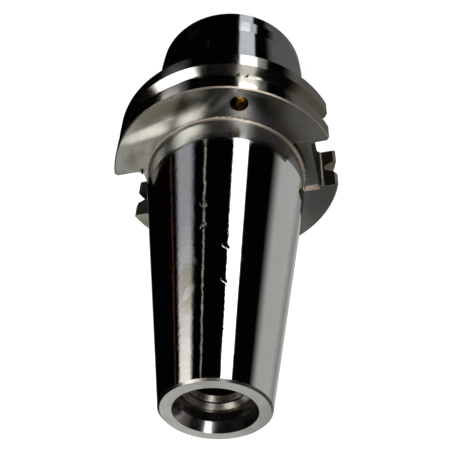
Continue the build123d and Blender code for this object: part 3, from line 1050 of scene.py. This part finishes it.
@dataclass(frozen=True)
class Card:
    """A light or a pale card of the studio, as the polished steel mirrors it.

    Attributes:
        name: what it is.
        left: its left edge, in degrees from the camera's side to the picture's right.
        right: its right edge.
        color: its colour.
        strength: its brightness.
        low: its lower edge, in degrees above the horizon.
        high: its upper edge.
        blur: how soft its sides are.
        right_blur: how soft its right side is, where that differs.
        end_blur: how soft its ends are.
    """

    name: str
    left: float
    right: float
    color: Color = (1.0, 1.0, 1.0)
    strength: float = 1.0
    low: float = -95.0
    high: float = 95.0
    blur: float = 1.0
    right_blur: float = 0.0
    end_blur: float = 4.0

    def glow(self, graph: Graph, side: Socket, rise: Socket) -> Socket:
        """Light that comes from a direction.

        Args:
            graph: the surround's graph.
            side: the direction's angle from the camera's side.
            rise: its angle above the horizon.

        Returns:
            The socket of the colour.
        """
        far = self.right_blur or self.blur
        edges = [
            graph.fade(side, self.left - self.blur, self.left + self.blur),
            graph.fade(side, self.right + far, self.right - far),
        ]
        if self.low > -ZENITH:
            edges.append(graph.fade(rise, self.low - self.end_blur, self.low + self.end_blur))
        if self.high < ZENITH:
            edges.append(graph.fade(rise, self.high + self.end_blur, self.high - self.end_blur))
        share = edges[0]
        for edge in edges[1:]:
            share = graph.math("MULTIPLY", share, edge)
        return graph.scaled(tuple(self.strength * level for level in self.color), share)


# The camera's right, up and back and its place, as shares of the studio's axes. They were fitted to the
# circles of the flange, the nose and the shank in the photograph.
CAMERA_RIGHT = (0.99886, 0.03316, -0.03432)
CAMERA_UP = (-0.04773, 0.69406, -0.71833)
CAMERA_BACK = (0.0, 0.71915, 0.69485)
CAMERA_PLACE = (0.000179, 0.14245, 0.2069)
CREAM = (1.0, 0.93, 0.80)
COOL = (0.90, 0.95, 1.0)
WALL = (1.0, 0.995, 0.96)
CARDS = (
    Card("edge of the left card", -84.6, -81.8, (1.0, 0.48, 0.24), 0.055, low=-50, high=10),
    Card("left card", -72, -48, (0.95, 0.97, 1.03), 0.42, low=-53, high=8, blur=5.0, right_blur=5.0),
    Card("left card, nose end", -73, -49, CREAM, 0.95, low=-24, high=8, end_blur=8.0, blur=2.0,
         right_blur=4.0),
    Card("left card, top", -84, -44, (1.0, 0.99, 0.96), 3.0, low=46, high=62, blur=3.0, right_blur=5.0),
    Card("left card, foot", -76, -55, (1.0, 0.98, 0.92), 1.2, low=-53, high=-47, end_blur=1.5, blur=3.0),
    Card("gap beside the left card", -30.7, -29.2, CREAM, 0.55, blur=1.0, low=-50, high=10),
    Card("strip light", 8.5, 27, (1.0, 1.0, 1.0), 3.2, low=-57.5, high=56, end_blur=3.0),
    Card("strip light, foot", 11, 38, COOL, 0.9, high=-57, blur=2.0),
    Card("strip light, top", 9, 30, (1.0, 0.98, 0.94), 0.9, low=52, high=80, blur=3.0),
    Card("right wall", 72, 160, WALL, 0.34, low=-46, high=8, blur=10.0, end_blur=6.0),
    Card("right wall, near end", 72, 124, WALL, 0.2, low=-46, high=8, blur=10.0, end_blur=6.0),
    Card("right wall, foot", 66, 181, WALL, 0.13, high=-49, blur=9.0),
    Card("right wall, top", 74, 150, (1.0, 0.88, 0.70), 0.12, low=8, high=66, blur=8.0),
    Card("back wall", 152, 181, WALL, 0.3, low=-46, high=12, blur=9.0, right_blur=0.5),
    Card("back wall, left", -181, -163, WALL, 0.25, low=-46, high=12, blur=0.5, right_blur=8.0),
    Card("back wall, nose height", 150, 181, WALL, 0.68, low=12, high=38, blur=9.0, right_blur=0.5),
    Card("back wall, nose height, left", -181, -150, WALL, 0.68, low=12, high=38, blur=0.5, right_blur=9.0),
    Card("back wall, top", 140, 181, WALL, 0.24, low=40, high=64, blur=9.0, right_blur=0.5),
    Card("back wall, top left", -181, -146, WALL, 0.85, low=40, high=64, blur=0.5, right_blur=9.0),
    Card("back lamp", -134, -116, (1.0, 0.98, 0.93), 2.5, low=44, high=60, blur=3.0),
    Card("top sheet", -181, 181, WALL, 0.4, low=75, end_blur=5.0),
    Card("top lamp", 174, 186, (1.0, 0.99, 0.95), 2.0, low=72, high=88, blur=3.0),
    Card("back strip", -176, -168, (1.0, 0.98, 0.95), 1.5, low=-60, high=20),
)


@dataclass
class Studio:
    """Floor, surround, lamp and camera. Lengths are in metres.

    Attributes:
        turn: direction of the picture's right, in degrees about the frame's Z axis.
        soft_light: brightness of the surround for plain surfaces.
        darkness: light of the surround between the cards.
        floor_size: width of the floor.
        floor_matte: colour of the floor under the lights.
        floor_glow: light that the camera sees it give.
        lens: the camera's focal length, in millimetres.
        sensor: width of its sensor, in millimetres.
        nearest: nearest distance that it sees.
        lamp_size: width of the lamp.
        lamp_power: its power, in watts.
        lamp_place: its place, to the right, near and up.
    """

    turn: float = -16.0
    soft_light: float = 0.75
    darkness: Color = (0.0012, 0.0012, 0.0012)
    floor_size: float = 6.0
    floor_matte: Color = (0.3, 0.3, 0.3)
    floor_glow: Color = (0.8, 0.8, 0.8)
    lens: float = 60.0
    sensor: float = 36.0
    nearest: float = 0.01
    lamp_size: float = 0.8
    lamp_power: float = 6.0
    lamp_place: Place = (-0.25, 0.3, 0.8)

    def axes(self) -> tuple[Vector, Vector, Vector]:
        """Axes of the studio.

        Returns:
            The picture's right, the level direction to the camera, and up.
        """
        angle = math.radians(self.turn)
        right = Vector((math.cos(angle), math.sin(angle), 0))
        return right, Vector((-right.y, right.x, 0)), Vector((0, 0, 1))

    def along(self, right: float, near: float, up: float) -> Vector:
        """Vector from its shares along the three axes."""
        return sum((share * axis for share, axis in zip((right, near, up), self.axes())), Vector())

    def camera(self) -> None:
        """Puts the camera where the photograph was taken."""
        made = bpy.data.objects.new("camera", bpy.data.cameras.new("camera"))
        bpy.context.scene.collection.objects.link(made)
        made.data.lens = self.lens
        made.data.sensor_width = self.sensor
        made.data.clip_start = self.nearest
        turns = (self.along(*CAMERA_RIGHT), self.along(*CAMERA_UP), self.along(*CAMERA_BACK))
        made.matrix_world = Matrix(turns).transposed().to_4x4()
        made.location = self.along(*CAMERA_PLACE)
        bpy.context.scene.camera = made

    def surround(self) -> None:
        """White for the camera, soft light for plain surfaces, and the studio's cards for polished steel."""
        world = bpy.data.worlds.new("studio")
        bpy.context.scene.world = world
        world.use_nodes = True
        graph = Graph(world.node_tree)
        direction = graph.node("TexCoord").outputs["Generated"]
        right, near, up = self.axes()
        side = graph.math(
            "ARCTAN2",
            graph.vector("DOT_PRODUCT", direction, tuple(right)).outputs["Value"],
            graph.vector("DOT_PRODUCT", direction, tuple(near)).outputs["Value"])
        side = graph.math("MULTIPLY", side, math.degrees(1))
        rise = graph.vector("DOT_PRODUCT", direction, tuple(up)).outputs["Value"]
        rise = graph.math("MULTIPLY", graph.math("ARCSINE", rise), math.degrees(1))
        light = self.darkness
        for card in CARDS:
            light = graph.vector("ADD", light, card.glow(graph, side, rise)).outputs[0]
        path = graph.node("LightPath").outputs
        level = (self.soft_light,) * 3
        seen = graph.blend(path["Is Diffuse Ray"], light, level)
        seen = graph.blend(path["Is Camera Ray"], seen, (1.0, 1.0, 1.0))
        glow = graph.node("Background")
        graph.feed(glow.inputs["Color"], seen)
        graph.feed(graph.node("OutputWorld").inputs["Surface"], glow.outputs[0])

    def floor(self) -> None:
        """Pale floor that the camera sees as white, with the chuck's soft shadow."""
        half = self.floor_size / 2
        mesh = bpy.data.meshes.new("floor")
        corners = [(-half, -half, 0), (half, -half, 0), (half, half, 0), (-half, half, 0)]
        mesh.from_pydata(corners, [], [(0, 1, 2, 3)])
        floor = bpy.data.objects.new("floor", mesh)
        bpy.context.scene.collection.objects.link(floor)
        paint = bpy.data.materials.new("pale_floor")
        paint.use_nodes = True
        graph = Graph(paint.node_tree)
        matte = graph.node("BsdfDiffuse")
        matte.inputs["Color"].default_value = (*self.floor_matte, 1.0)
        glow = graph.node("Emission")
        glow.inputs["Color"].default_value = (*self.floor_glow, 1.0)
        graph.feed(glow.inputs["Strength"], graph.node("LightPath").outputs["Is Camera Ray"])
        both = graph.node("AddShader")
        graph.feed(both.inputs[0], matte.outputs[0])
        graph.feed(both.inputs[1], glow.outputs[0])
        graph.feed(graph.node("OutputMaterial").inputs["Surface"], both.outputs[0])
        mesh.materials.append(paint)
        floor.visible_glossy = False

    def lamp(self) -> None:
        """Large soft lamp overhead, which polished steel doesn't mirror."""
        data = bpy.data.lights.new("overhead", "AREA")
        data.size = self.lamp_size
        data.energy = self.lamp_power
        made = bpy.data.objects.new("overhead", data)
        bpy.context.scene.collection.objects.link(made)
        made.location = self.along(*self.lamp_place)
        made.rotation_mode = "QUATERNION"
        made.rotation_quaternion = made.location.to_track_quat("Z", "Y")
        made.visible_glossy = False

    def build(self) -> None:
        """Sets the studio up."""
        self.camera()
        self.surround()
        self.floor()
        self.lamp()
        view = bpy.context.scene.view_settings
        view.view_transform = "Standard"
        log.info("studio: %d cards", len(CARDS))


def clear_defaults() -> None:
    """Removes the objects that a new scene comes with."""
    for name in ("Cube", "Light", "Camera"):
        spare = bpy.data.objects.get(name)
        if spare is not None:
            bpy.data.objects.remove(spare)


def main() -> None:
    """Builds the chuck and its studio, and reports each piece."""
    logging.basicConfig(level=logging.INFO, format="%(name)s: %(message)s")
    clear_defaults()
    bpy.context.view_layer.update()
    parts = (ChuckBody(), ClampSleeve(), FillingPort(), PressureDrive(), LengthStop(), CoolantUnit(),
             Studio())
    for part in parts:
        part.build()


if __name__ == "__main__":
    main()
